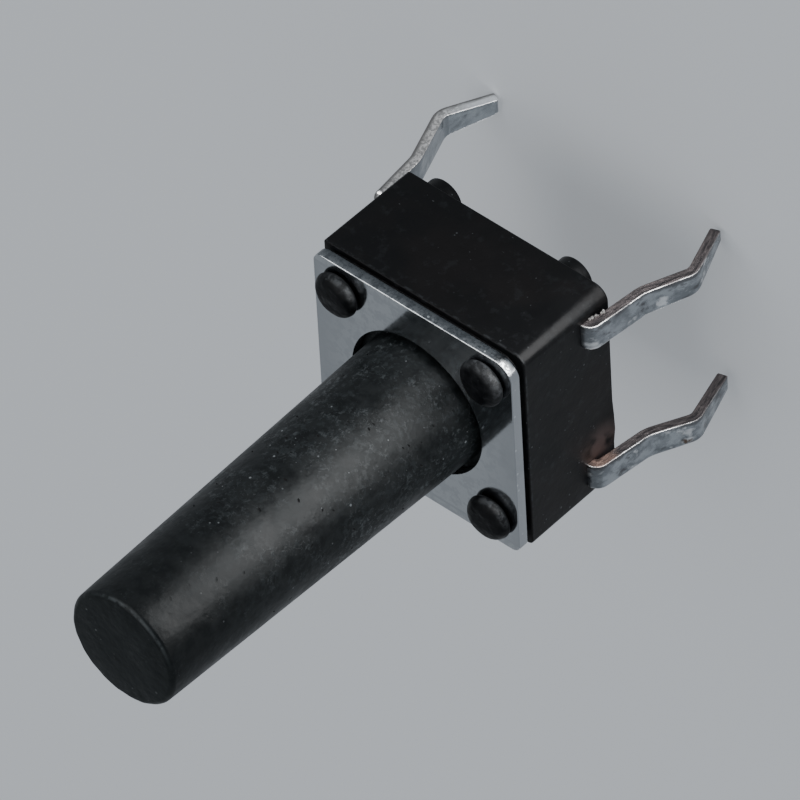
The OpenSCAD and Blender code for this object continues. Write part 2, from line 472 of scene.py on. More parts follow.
    def specks(self, per_mm: float, size: float, share: float, where: Socket | None = None) -> Socket:
        """Small round specks: 1 inside, 0 outside.

        Args:
            per_mm: Candidate places for each millimetre.
            size: Radius of the largest speck in cell widths.
            share: Share of the places that hold a speck.
            where: Coordinates, or None for plain millimetres.

        Returns:
            The mask.
        """
        cells = add_node(self.tree, "TexVoronoi", {"Vector": where or self.plain, "Scale": per_mm})
        chance = self.add("SeparateColor", 0, {0: cells.outputs["Color"]})
        radius = self.ramp(chance, 1 - share, 1.0, 0.0, size)
        return self.ramp(self.calc("SUBTRACT", radius, cells.outputs["Distance"]), 0.0, size * 0.35)

    def creases(self, per_mm: float, width: float) -> Socket:
        """Thin wandering lines: 1 where a noise passes its middle, fading within a width in noise units."""
        level = self.calc("SUBTRACT", self.noise(per_mm, 1.0), 0.5)
        return self.ramp(self.calc("ABSOLUTE", level), 0.0, width, 1.0, 0.0)


@dataclass(frozen=True)
class Finish:
    """How a piece looks: each kind of finish lays its own patterns on a material."""

    def make(self, name: str) -> Material:
        """Makes the material.

        Args:
            name: Name of the material.

        Returns:
            The material.
        """
        shade = Shade(name)
        self.lay(shade)
        return shade.material

    def lay(self, shade: Shade) -> None:
        """Lays the finish on a material's shader."""
        raise NotImplementedError


@dataclass(frozen=True)
class GlossMoulding(Finish):
    """Glossy black moulding with faint clouds, dust, short scratches, and a brown haze at one pin."""

    base: Colour = (0.0032, 0.0035, 0.0043)
    cloud: Colour = (0.0082, 0.0068, 0.0070)
    dust: Colour = (0.15, 0.16, 0.17)
    smudge: Colour = (0.030, 0.033, 0.036)
    haze: Colour = (0.105, 0.074, 0.068)
    haze_at: Point = (3.0, -1.62, 0.80)
    front_z: float = 3.165

    def lay(self, shade: Shade) -> None:
        """Lays the clouds first, then smudges and the dusty front edge, the haze, and litter on top.

        Args:
            shade: The material's nodes.
        """
        litter = shade.masked(
            shade.either(
                shade.specks(5.0, 0.15, 0.30),
                shade.specks(3.0, 0.15, 0.10, shade.place((3.4, 0.8, 3.0), (20, 35, 50))),
                shade.specks(2.6, 0.15, 0.10, shade.place((0.7, 3.2, 3.0), (60, 10, 25))),
            ),
            shade.ramp(shade.noise(0.9), 0.36, 0.58, 0.25, 1.0),
        )
        front = shade.masked(
            shade.ramp(shade.height_mm(), self.front_z - 0.07, self.front_z - 0.02),
            shade.ramp(shade.height_mm(), self.front_z, self.front_z + 0.01, 1.0, 0.0),
            shade.patches(5.0, 0.44, 0.60, 4.0, 0.66),
        )
        smudges = shade.masked(shade.patches(3.2, 0.55, 0.70, 4.0, 0.66), 0.32)
        haze = shade.masked(shade.close_to(self.haze_at, 0.15, 0.85), shade.patches(2.0, 0.30, 0.56, 3.0))
        shade.set(
            Base_Color=shade.coated(
                self.base,
                (shade.patches(0.55, 0.40, 0.66, 3.0), self.cloud),
                (shade.either(smudges, front), self.smudge),
                (haze, self.haze),
                (shade.masked(litter, 0.6), self.dust),
            ),
            Roughness=shade.levelled(
                0.24,
                (shade.noise(1.3, 4.0, 0.6), 0.50),
                (shade.either(haze, front), 0.50),
                (litter, 0.55),
            ),
            Normal=shade.relief(
                (shade.noise(1.6), 0.012),
                (shade.noise(4.5, 3.0, 0.6), 0.0045),
                (shade.noise(20.0, 3.0), 0.0012),
                (litter, 0.004),
            ),
            IOR=1.22,
        )


@dataclass(frozen=True)
class MeltedHead(Finish):
    """Stake heads: the same plastic, dulled by the hot tool, with a painted highlight on one side."""

    base: Colour = (0.0026, 0.0030, 0.0040)
    pale: Colour = (0.0080, 0.0088, 0.0105)
    rim_highlight: Colour = (0.115, 0.120, 0.125)
    highlight_flake: Colour = (0.34, 0.35, 0.36)
    grit: Colour = (0.12, 0.13, 0.14)

    def lay(self, shade: Shade) -> None:
        """Lays streaks that the tool drew, the painted rim highlight with its pale specks, and grit.

        Args:
            shade: The material's nodes.
        """
        drawn = shade.noise(4.0, 4.0, 0.6)
        torn = shade.ramp(shade.noise(6.0, 3.0, 0.6), 0.42, 0.62, 0.20, 1.0)
        # The painted highlight: a pale crescent on one side of each head's rim, broken up by noise
        rim = shade.masked(shade.mark("frosted"), torn)
        shade.set(
            Base_Color=shade.coated(
                self.base,
                (shade.ramp(drawn, 0.48, 0.75), self.pale),
                (rim, self.rim_highlight),
                (shade.masked(shade.specks(6.0, 0.16, 0.3), rim), self.highlight_flake),
                (shade.masked(shade.specks(7.0, 0.16, 0.14), 0.5), self.grit),
            ),
            Roughness=shade.between(shade.ramp(drawn, 0.35, 0.65), 0.36, 0.56),
            Normal=shade.relief((shade.noise(2.4), 0.06), (shade.noise(14.0, 3.0, 0.6), 0.004)),
            IOR=1.21,
        )


@dataclass(frozen=True)
class SatinButton(Finish):
    """Satin charcoal plastic: cloudy mottling, clusters of pale crumbs, dust points and a few dark nicks."""

    base: Colour = (0.0058, 0.0078, 0.0086)
    worn: Colour = (0.0160, 0.0190, 0.0200)
    pale: Colour = (0.0330, 0.0390, 0.0410)
    nick: Colour = (0.0015, 0.0018, 0.0021)
    scuff: Colour = (0.105, 0.116, 0.120)
    dust: Colour = (0.42, 0.44, 0.45)
    rubbed_highlight: Colour = (0.078, 0.088, 0.092)

    def lay(self, shade: Shade) -> None:
        """Lays mottling, scuffs, nicks, the rim's wear and painted highlight, and dust, calmer towards the
        end.

        Args:
            shade: The material's nodes.
        """
        mottle = shade.noise(3.4, 4.0, 0.62)
        flecks = shade.noise(7.0, 3.0, 0.66)
        blotches = shade.noise(1.3, 3.0, 0.55)
        even = shade.ramp(shade.height_mm(), 9.5, 13.0, 1.0, 0.45)
        near_root = shade.ramp(shade.height_mm(), 8.5, 12.5, 1.0, 0.15)
        handled = shade.masked(shade.patches(0.75, 0.40, 0.56), near_root)
        grains = shade.masked(
            shade.patches(7.0, 0.50, 0.60, 3.0, 0.62),
            shade.patches(15.0, 0.46, 0.58),
            shade.patches(2.3, 0.46, 0.58, 3.0, 0.6),
            0.8,
        )
        dashes = shade.masked(
            shade.creases(6.0, 0.030),
            shade.patches(12.0, 0.49, 0.57),
            shade.patches(1.8, 0.42, 0.54, 3.0, 0.6),
            0.7,
        )
        scuffs = shade.masked(shade.either(grains, dashes), handled)
        points = shade.masked(
            shade.either(shade.specks(4.0, 0.17, 0.24), shade.specks(8.0, 0.22, 0.10)),
            shade.between(handled, 0.12, 1.0),
        )
        nicks = shade.masked(
            shade.either(
                shade.specks(4.4, 0.26, 0.14, shade.place((1.0, 2.6, 0.8), (35, 20, 0))),
                shade.specks(4.0, 0.26, 0.14, shade.place((2.4, 0.9, 0.9), (0, 50, 70))),
            ),
            near_root,
        )
        paler = shade.masked(shade.ramp(flecks, 0.47, 0.64), shade.between(handled, 0.15, 0.8), even)
        # A pale band on one side of the end's rim: rubbed wear and a painted highlight where the lights catch
        # it
        rim = shade.masked(shade.mark("rim"), shade.ramp(shade.noise(2.6, 4.0, 0.66), 0.36, 0.56, 0.10, 1.0))
        shade.set(
            Base_Color=shade.coated(
                self.base,
                (shade.masked(shade.ramp(mottle, 0.38, 0.62), even), self.worn),
                (shade.masked(shade.ramp(blotches, 0.48, 0.66), 0.5), self.worn),
                (paler, self.pale),
                (shade.masked(scuffs, 0.75), self.scuff),
                (shade.masked(nicks, 0.9), self.nick),
                (shade.masked(rim, 0.85), self.rubbed_highlight),
                (shade.masked(points, 0.85), self.dust),
            ),
            Roughness=shade.levelled(
                0.35,
                (shade.ramp(blotches, 0.36, 0.64), 0.46),
                (shade.ramp(mottle, 0.40, 0.64, 0.0, 0.35), 0.58),
                (shade.masked(shade.ramp(flecks, 0.44, 0.60, 1.0, 0.0), handled, 0.4), 0.62),
                (shade.masked(rim, 0.7), 0.28),
                (nicks, 0.95),
            ),
            Normal=shade.relief(
                (blotches, 0.036),
                (shade.masked(mottle, shade.between(near_root, 0.20, 1.0)), 0.011),
                (shade.masked(flecks, shade.between(handled, 0.3, 1.0)), 0.0065),
                (scuffs, 0.004),
                (shade.calc("SUBTRACT", 1.0, nicks), 0.012),
            ),
            IOR=1.22,
        )


@dataclass(frozen=True)
class TinnedCover(Finish):
    """Bright tinned sheet: a nearly mirror face with small marks, a grainy sheared edge and a bright burr."""

    face: Colour = (0.51, 0.53, 0.555)
    smudge: Colour = (0.38, 0.40, 0.42)
    dot: Colour = (0.92, 0.94, 0.96)
    edge: Colour = (0.072, 0.082, 0.090)
    grain: Colour = (0.092, 0.102, 0.111)
    corner_shade: Colour = (0.012, 0.014, 0.016)
    burr: Colour = (0.78, 0.81, 0.83)
    # Middles of the painted shade on one corner of the edge and of the painted glint flakes there
    corner_shade_at: Point = (2.80, 2.86, 3.45)
    highlight_flaked_at: Point = (2.74, 2.90, 3.58)

    def lay(self, shade: Shade) -> None:
        """Lays smears and dots on the face, and on the edge grain, glints, and a painted shade and glint at
        one corner.

        Args:
            shade: The material's nodes.
        """
        height = shade.height_mm()
        sheared = shade.mark("sheared")
        smears = shade.patches(0.8, 0.50, 0.72, 4.0, 0.55)
        dots = shade.specks(2.8, 0.075, 0.20)
        torn = shade.noise(17.0, 3.0, 0.6)
        worn = shade.ramp(shade.noise(4.0, 4.0, 0.68), 0.42, 0.54, 0.18, 1.0)
        broken = shade.masked(shade.mark("burr"), worn)
        # A painted glint: bright flakes at the top of one corner of the edge
        highlight_flakes = shade.masked(
            shade.patches(11.0, 0.49, 0.55, 3.0, 0.65),
            shade.ramp(height, 3.42, 3.56),
            shade.close_to(self.highlight_flaked_at, 0.10, 0.26),
        )
        glints = shade.masked(shade.specks(7.0, 0.34, 0.40), shade.ramp(height, 3.44, 3.54), 0.9)
        rim = shade.coated(
            self.edge,
            (shade.ramp(torn, 0.36, 0.66), self.grain),
            # A painted shade that dims one corner's reflection
            (shade.close_to(self.corner_shade_at, 0.24, 0.52), self.corner_shade),
            (highlight_flakes, self.burr),
            (glints, self.burr),
        )
        rolled = shade.noise(1.0, 2.0, 0.5, shade.place((0.6, 22.0, 6.0)))
        shade.set(
            Base_Color=shade.coated(
                self.face,
                (shade.masked(smears, 0.35), self.smudge),
                (shade.masked(dots, 0.8), self.dot),
                (sheared, rim),
                (broken, self.burr),
            ),
            Roughness=shade.levelled(
                0.080,
                (smears, 0.15),
                (dots, 0.5),
                (sheared, shade.ramp(torn, 0.36, 0.66, 0.22, 0.40)),
                (broken, 0.30),
            ),
            Normal=shade.relief(
                (shade.noise(0.45, 1.0), 0.016),
                (rolled, 0.0006),
                (shade.calc("ADD", shade.masked(torn, sheared), shade.masked(dots, 0.3)), 0.0026),
            ),
            Metallic=1.0,
        )


@dataclass(frozen=True)
class TinnedPins(Finish):
    """Tin over brass: smudged silvery faces, sheared edges that are browner the more they are tarnished."""

    tin: Colour = (0.37, 0.395, 0.42)
    film: Colour = (0.165, 0.180, 0.197)
    bare: Colour = (0.93, 0.95, 0.97)
    stain: Colour = (0.070, 0.068, 0.072)
    spot: Colour = (0.115, 0.082, 0.064)
    spots_at: tuple[Point, Point] = ((3.89, -2.465, -1.06), (3.94, -2.465, -1.16))
    dab_at: Point = (3.665, 2.13, -0.76)
    flux: Colour = (0.36, 0.25, 0.21)
    flux_at: Point = (3.14, -1.90, 0.98)
    margin: Colour = (0.195, 0.190, 0.186)
    core: Colour = (0.73, 0.71, 0.69)
    glint: Colour = (1.0, 0.99, 0.97)
    brown_edge: Colour = (0.142, 0.123, 0.122)
    dark_edge: Colour = (0.042, 0.039, 0.041)
    burr: Colour = (0.93, 0.92, 0.91)

    def tarnished_side(self, shade: Shade) -> Socket:
        """Colour of an old sheared side: strokes of brown and dark along it, and flux at one root.

        Args:
            shade: The material's nodes.

        Returns:
            The colour.
        """
        strokes = shade.noise(1.0, 4.0, 0.65, shade.carried(2.2, 15.0, 0.0))
        flux = shade.masked(
            shade.close_to(self.flux_at, 0.15, 0.55, 0.18), shade.ramp(strokes, 0.34, 0.58, 0.35, 0.9)
        )
        return shade.coated(
            self.dark_edge,
            (shade.ramp(strokes, 0.38, 0.64), self.brown_edge),
            (shade.ramp(shade.mark("through"), -0.12, 0.02, 0.45, 0.0), self.brown_edge),
            (flux, self.flux),
        )

    def fresh_side(self, shade: Shade) -> Socket:
        """Colour of a fresh sheared side: a sparkling middle band between darker margins.

        Args:
            shade: The material's nodes.

        Returns:
            The colour.
        """
        strokes = shade.noise(1.0, 4.0, 0.65, shade.carried(2.2, 15.0, 0.0))
        inner = shade.calc("ADD", shade.mark("through"), shade.masked(strokes, 0.10))
        middle = shade.ramp(inner, 0.050, 0.155, 1.0, 0.0)
        tip = shade.ramp(shade.height_mm(), -2.6, -1.4, 0.9, 0.0)
        sparkle = shade.either(shade.ramp(shade.noise(12.0, 4.0, 0.75), 0.42, 0.58, 0.30, 1.0), tip)
        return shade.coated(
            self.margin,
            (shade.masked(middle, sparkle), shade.tint(tip, self.core, self.bare)),
            (shade.masked(shade.specks(8.0, 0.24, 0.25), middle), self.glint),
        )

    def lay(self, shade: Shade) -> None:
        """Lays film, stains, bare dabs and spots on the faces, and a burr beside the sheared sides.

        Args:
            shade: The material's nodes.
        """
        tarnish = shade.mark("tarnish")
        sheared = shade.ramp(shade.mark("sheared"), 0.25, 0.75)
        clean = shade.ramp(tarnish, 0.15, 0.5, 0.30, 1.0)
        flat = shade.carried(1.0, 0.0, 1.3)
        film = shade.masked(shade.ramp(shade.noise(1.8, 5.0, 0.62, flat), 0.40, 0.60), clean)
        under_burr = shade.calc("ADD", shade.mark("across"), shade.masked(shade.noise(2.6, 3.0, 0.6), 0.30))
        band = shade.masked(shade.ramp(under_burr, 0.34, 0.44), shade.patches(0.9, 0.38, 0.52))
        stains = shade.ramp(shade.noise(1.7, 5.0, 0.66, shade.carried(1.0, 0.0, 1.8)), 0.54, 0.66)
        fine = shade.masked(shade.noise(5.0, 3.0, 0.6, flat), 0.35)
        soft = shade.calc("ADD", shade.noise(0.9, 3.0, 0.6, flat), fine)
        dabs = shade.either(
            shade.masked(shade.ramp(soft, 0.76, 0.86), clean),
            shade.masked(shade.close_to(self.dab_at, 0.11, 0.19, 0.10), 0.9),
        )
        spots = shade.either(*(shade.close_to(at, 0.04, 0.12, 0.12) for at in self.spots_at))
        face = shade.coated(
            self.tin,
            (shade.masked(film, 0.9), self.film),
            (shade.masked(shade.either(stains, band), clean, 0.75), self.stain),
            (shade.masked(dabs, 0.55), self.bare),
            (spots, self.spot),
        )
        side = shade.tint(shade.ramp(tarnish, 0.1, 0.6), self.fresh_side(shade), self.tarnished_side(shade))
        burr = shade.masked(
            shade.mark("burr"),
            shade.ramp(shade.noise(1.6, 3.0), 0.40, 0.54, 0.25, 1.0),
            shade.ramp(tarnish, 0.1, 0.5),
        )
        shade.set(
            Base_Color=shade.coated(face, (sheared, side), (burr, self.burr)),
            Roughness=shade.levelled(0.15, (film, 0.34), (dabs, 0.36), (sheared, 0.44), (burr, 0.24)),
            Normal=shade.relief(
                (shade.noise(2.2), 0.040),
                (shade.masked(shade.noise(11.0, 4.0, 0.68), sheared), 0.018),
                (shade.noise(16.0, 3.0), 0.0018),
            ),
            Metallic=1.0,
        )


@dataclass(frozen=True)
class SpringStrip(Finish):
    """Rolled spring strip: fine parallel lines and a warm bright colour."""

    base: Colour = (0.72, 0.68, 0.58)
    dark: Colour = (0.52, 0.48, 0.40)

    def lay(self, shade: Shade) -> None:
        """Lays the lines of rolling.

        Args:
            shade: The material's nodes.
        """
        rolled = shade.noise(1.0, 3.0, 0.6, shade.place((1.0, 30.0, 4.0)))
        shade.set(
            Base_Color=shade.tint(shade.ramp(rolled, 0.40, 0.64), self.base, self.dark),
            Roughness=shade.between(rolled, 0.16, 0.36),
            Normal=shade.relief((rolled, 0.0016)),
            Metallic=1.0,
        )


@dataclass(frozen=True)
class Residue(Finish):
    """Crumbs of dried flux and plastic flash: pale, dull and grainy."""

    base: Colour = (0.40, 0.385, 0.365)
    dark: Colour = (0.20, 0.18, 0.165)

    def lay(self, shade: Shade) -> None:
        """Lays one grain for the colour, the roughness and the relief.

        Args:
            shade: The material's nodes.
        """
        grain = shade.noise(22.0, 3.0, 0.6)
        shade.set(
            Base_Color=shade.tint(shade.ramp(grain, 0.4, 0.65), self.base, self.dark),
            Roughness=shade.between(grain, 0.45, 0.75),
            Normal=shade.relief((grain, 0.01)),
        )


@dataclass(frozen=True)
class PaleFloor(Finish):
    """Plain pale floor of translucent sheet, lit a little from below so that shadows stay soft."""

    base: Colour = (0.44, 0.455, 0.475)
    cloud: Colour = (0.43, 0.445, 0.465)
    glow: Colour = (0.90, 0.945, 1.0)
    glow_strength: float = 0.27

    def lay(self, shade: Shade) -> None:
        """Lays wide faint clouds and the glow."""
        shade.set(Base_Color=shade.tint(shade.noise(0.02), self.base, self.cloud), Roughness=0.85)
        shade.set(Specular_IOR_Level=0.2, Emission_Color=self.glow, Emission_Strength=self.glow_strength)


# ---------------------------------------------------------------------------------------
# Housing
# ---------------------------------------------------------------------------------------


@dataclass
class Housing:
    """Square moulding with a step, four feet, a cup for the contacts, and four staked heads.

    Each head has its own lean, swell and half angle of its painted rim highlight, in the order of the
    corners.
    """

    half_w: float = 3.0
    bottom_z: float = 0.33
    shoulder_z: float = 3.19
    step_z: float = 3.30
    cover_top_z: float = 3.60
    step_half: float = 2.83
    edges_top: Radii = (0.27, 0.05, 0.10, 0.16)
    edges_bottom: Radii = (0.37, 0.10, 0.12, 0.21)
    step_edges: Radii = (0.5, 0.27, 0.27, 0.27)
    rim_r: float = 0.028
    step_rim_r: float = 0.02
    cup_r: float = 2.34
    cup_floor_z: float = 1.375
    foot_r: float = 0.5
    foot_x: float = 1.96
    foot_y: float = 2.45
    foot_shift: float = 0.2
    stake_at: float = 2.18
    stake_r: float = 0.42
    stake_sunk: float = 0.08
    seat_gap: float = 0.004
    head_r: float = 0.605
    head_top_z: float = 3.98
    head_rim_r: float = 0.23
    head_oval: float = 0.045
    head_waves: float = 0.012
    head_tilt: float = 0.035
    heads: tuple[Point, ...] = ((0.6, 1.9, 45), (3.6, 0.5, 44), (5.2, 1.1, 46), (2.4, 2.6, 68))
    # Where each head's painted rim highlight lies: its direction in radians, its height above the seat, and
    # its height range for each degree of its half angle
    rim_highlight_towards: float = 1.10
    rim_highlight_above: float = 0.20
    rim_highlight_per_deg: float = 0.0019
    flash_y: float = -1.35
    flash_half: float = 0.42
    flash_high: float = 0.16
    flash_out: float = 0.05

    def block_outline(self, inset: float, z: float) -> np.ndarray:
        """Ring of the block at height z.

        It is a square whose corner radii grow towards the board. A low bell of flash stands out
        of its +X side at the very bottom.

        Args:
            inset: Distance inside the block's sides.
            z: Height.

        Returns:
            Points shaped (n, 3).
        """
        share = np.clip((self.shoulder_z - z) / (self.shoulder_z - self.bottom_z), 0, 1)
        radii = np.array(self.edges_top) * (1 - share) + np.array(self.edges_bottom) * share
        ring = square_ring(self.half_w - inset, np.maximum(radii - inset, 0.01))
        near = bell(ring[:, 1], self.flash_y, self.flash_half, 6) * bell(z, self.bottom_z, self.flash_high)
        ring[:, 0] += near * (ring[:, 0] > self.half_w - 0.2) * self.flash_out
        return at_height(ring, z)

    def block(self) -> Surface:
        """Block, step and cup as one skin.

        The skin is a stack of rings: up the sides, in over the shoulder, up the step, in to the
        cup, down its wall and across its floor. Each edge turns in a quarter circle of rings.

        Returns:
            The closed surface.
        """
        low, high, step_z, r = self.bottom_z, self.shoulder_z, self.step_z, self.rim_r
        side = rounded([(0.4, low, 0), (0, low, r), (0, high, r), (0.4, high, 0)], 4)
        wall = np.column_stack([np.zeros(9), np.linspace(low + 2 * r, high - 2 * r, 9)])
        sides = [self.block_outline(i, z) for i, z in np.concatenate([side[1:6], wall, side[6:11]])]
        r = self.step_rim_r
        step = rounded([(-0.1, high, 0), (0, high, r), (0, step_z, r), (0.3, step_z, 0)], 3)
        edges = np.array(self.step_edges)
        steps = [at_height(square_ring(self.step_half - i, edges - i), z) for i, z in step[1:-1]]
        guide = square_ring(self.step_half, edges)
        guide /= np.linalg.norm(guide, axis=1, keepdims=True)
        floor_z = self.cup_floor_z
        cup = rounded([(0.3, step_z, 0), (0, step_z, 0.03), (0, floor_z, 0.05), (-0.4, floor_z, 0)], 3)
        walls = [at_height(guide * (self.cup_r + i), z) for i, z in cup[1:]]
        return lofted(np.stack(sides + steps + walls))

    def foot(self) -> Surface:
        """One round foot, with a small rounding at the board.

        Returns:
            The closed surface about its own axis.
        """
        top = self.bottom_z + 0.05
        outline = rounded([(0.02, 0, 0), (self.foot_r, 0, 0.05), (self.foot_r, top, 0), (0.02, top, 0)], 4)
        return lofted(turned(outline, 64))

    def stake(self, lean: float, swell: float, highlight_half_deg: float) -> Surface:
        """One stake with its melted head.

        The turned outline has a waist at the plate and a mushroom head. The head is then made
        uneven: its radius shrinks by a few hundredths in two opposite directions, its top tilts,
        and its middle is a little hollow where the hot tool pressed. Its rim carries the mark
        "frosted", a fourth-power bell about one direction and one height, where a
        painted highlight lies.

        Args:
            lean: Direction of the tilt, in radians.
            swell: Direction in which the head keeps its full radius, in radians.
            highlight_half_deg: Half the angle over which its rim carries the painted highlight.

        Returns:
            The closed surface about the stake's own axis.
        """
        seat = self.cover_top_z + self.seat_gap
        foot_z, top = self.step_z - self.stake_sunk, self.head_top_z
        outline = rounded(
            [
                (0.02, foot_z, 0),
                (self.stake_r, foot_z, 0),
                (self.stake_r, seat + 0.03, 0.03),
                (self.head_r - 0.04, seat + 0.03, 0.07),
                (self.head_r, seat + 0.12, 0.05),
                (self.head_r, top, self.head_rim_r),
                (0.28, top, 0),
                (0.10, top - 0.008, 0),
                (0.02, top - 0.010, 0),
            ],
            6,
        )
        radius, height = outline[:, :1], outline[:, 1:]
        angle = angles(72)
        rings = turned(outline, 72)
        reach = np.clip((height - seat) / (top - seat), 0, 1)
        oval = self.head_oval * (0.5 - 0.5 * np.cos(2 * (angle - swell)))
        rings[..., :2] *= (1 - reach * (oval + self.head_waves * (1 + np.sin(5 * angle + lean))))[..., None]
        rings[..., 2] -= self.head_tilt * reach * (1 + np.cos(angle - lean)) * radius / self.head_r
        # The painted highlight: a bell about one direction round the head, times one about a height
        facing = bell(off(angle, self.rim_highlight_towards), 0.0, math.radians(highlight_half_deg), 4)
        level = bell(height, seat + self.rim_highlight_above, self.rim_highlight_per_deg * highlight_half_deg, 4)
        return lofted(rings, {"frosted": level * (radius > self.stake_r + 0.05) * facing})

    def build(self) -> None:
        """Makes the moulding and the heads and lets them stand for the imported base."""
        feet = [(x * self.foot_x - y * self.foot_shift, y * self.foot_y) for x, y in CORNERS]
        skin = joined([self.block()] + [self.foot().moved(x, y) for x, y in feet])
        moulding = skin.to_piece("housing_moulding", GlossMoulding().make("gloss_black_moulding"))
        spots = [(x * self.stake_at, y * self.stake_at) for x, y in CORNERS]
        stakes = [self.stake(*head).moved(*spot) for head, spot in zip(self.heads, spots)]
        heads = joined(stakes).to_piece("stake_heads", MeltedHead().make("melted_black_heads"), 50.0)
        for piece in (moulding, heads):
            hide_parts("base")
            dressed(piece, Body.HOUSING, "housing_plastic")


# ---------------------------------------------------------------------------------------
# Cover plate
# ---------------------------------------------------------------------------------------


@dataclass
class Cover:
    """Punched sheet with a round hole for the button and four for the stakes."""

    half_w: float = 2.97
    corners: Radii = (0.5, 0.27, 0.30, 0.25)
    bottom_z: float = 3.30
    top_z: float = 3.60
    hole_r: float = 1.94
    stake_at: float = 2.18
    stake_hole_r: float = 0.47
    break_top: float = 0.022
    break_bottom: float = 0.05
    margin: float = 0.012
    burr_below: float = 0.010
    burr_half: float = 0.009
    smoothest: float = 0.28

    def edge_profile(self) -> np.ndarray:
        """Section of a punched edge from the top face down, with both corners broken.

        Returns:
            Inset and height of each point, with one more on each face just past the corner.
        """
        low, high, past = self.bottom_z, self.top_z, 0.11
        corners = [(past, high, 0), (0, high, self.break_top), (0, low, self.break_bottom), (past, low, 0)]
        ends = np.array([[self.break_top + self.margin, high], [self.break_bottom + self.margin, low]])
        return np.concatenate([ends[:1], rounded(corners, 4)[1:-1], ends[1:]])

    def build(self) -> None:
        """Sweeps the punched edge round the outline and each hole, fills both faces, and dresses the plate.

        Every outline is a ring moved inwards (or outwards for a hole) by the section's inset at
        each of its heights. The two flat faces are filled between the innermost rings.
        """
        profile = self.edge_profile()
        corners = np.array(self.corners)
        outline = [at_height(square_ring(self.half_w - i, corners - i, 16, 24), z) for i, z in profile]
        stakes = [(x * self.stake_at, y * self.stake_at) for x, y in CORNERS]
        holes = [(0.0, 0.0, self.hole_r, 160)] + [(*at, self.stake_hole_r, 64) for at in stakes]
        loops = [np.stack(outline)]
        for x, y, radius, count in holes:
            loops.append(np.stack([at_height(circle(count) * (radius + i) + [x, y], z) for i, z in profile]))
        rows = len(profile)
        starts = np.cumsum([0] + [loop.shape[0] * loop.shape[1] for loop in loops])
        walls = [ring_quads(rows, loop.shape[1]) + s for loop, s in zip(loops, starts)]
        walls[0] = walls[0][:, ::-1]
        points = np.concatenate([loop.reshape(-1, 3) for loop in loops])
        caps = [self.filled(loops, starts, level) for level in (0, rows - 1)]
        height = profile[:, 1:]
        # The mark ends sharply at both corners, where only the flat side between them is sheared
        middle, half = (self.top_z + self.bottom_z) / 2, (self.top_z - self.bottom_z) / 2
        upright = np.abs(height - middle) < half - self.margin
        turned_over = bell(height, self.top_z - self.burr_below, self.burr_half)
        shares = [self.shear_share(loop[0]) for loop in loops]
        marks = {
            "sheared": np.concatenate([(share * upright).reshape(-1) for share in shares]),
            "burr": np.concatenate([((share > 0.5) * turned_over).reshape(-1) for share in shares]),
        }
        plate = Surface(points, np.concatenate(walls), np.concatenate(caps), marks).outward()
        piece = plate.to_piece("steel_cover", TinnedCover().make("bright_tinned_sheet"))
        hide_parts("cover_plate")
        dressed(piece, Body.HOUSING, "cover_steel")

    def shear_share(self, ring: np.ndarray) -> np.ndarray:
        """How rough the edge is: rough across Y and at the holes, smoother across X.

        Args:
            ring: Points of an outline, shaped (n, 3).

        Returns:
            A share for each point.
        """
        across = np.abs(ring[:, 1]) - np.abs(ring[:, 0])
        smoother = self.smoothest + (1 - self.smoothest) * np.clip((across + 0.20) / 0.15, 0, 1)
        outside = np.abs(ring[:, :2]).max(axis=1) > self.half_w - 0.2
        return np.where(outside, smoother, 1.0)

    @staticmethod
    def filled(loops: list[np.ndarray], starts: np.ndarray, level: int) -> np.ndarray:
        """Triangles of one flat face, between the outline and the holes.

        Args:
            loops: Rings of each outline, shaped (rows, n, 3).
            starts: Number of the first point of each outline.
            level: Row that bounds the face, 0 for the top and the last for the bottom.

        Returns:
            Point numbers, turned to face up for the top and down for the bottom.
        """
        rims = [loop[level] for loop in loops]
        numbers = np.concatenate(
            [np.arange(len(rim)) + start + level * len(rim) for rim, start in zip(rims, starts)]
        )
        flat = np.concatenate(rims)
        found = np.array(tessellate_polygon([[Vector(p) for p in rim] for rim in rims]))
        a, b, c = (flat[found[:, i], :2] for i in range(3))
        area = (b[:, 0] - a[:, 0]) * (c[:, 1] - a[:, 1]) - (b[:, 1] - a[:, 1]) * (c[:, 0] - a[:, 0])
        real = np.abs(area) > 1e-9
        found, area = found[real], area[real]
        wrong = area < 0 if level == 0 else area > 0
        found[wrong] = found[wrong][:, ::-1]
        return numbers[found]


# ---------------------------------------------------------------------------------------
# Button and snap disc
# ---------------------------------------------------------------------------------------


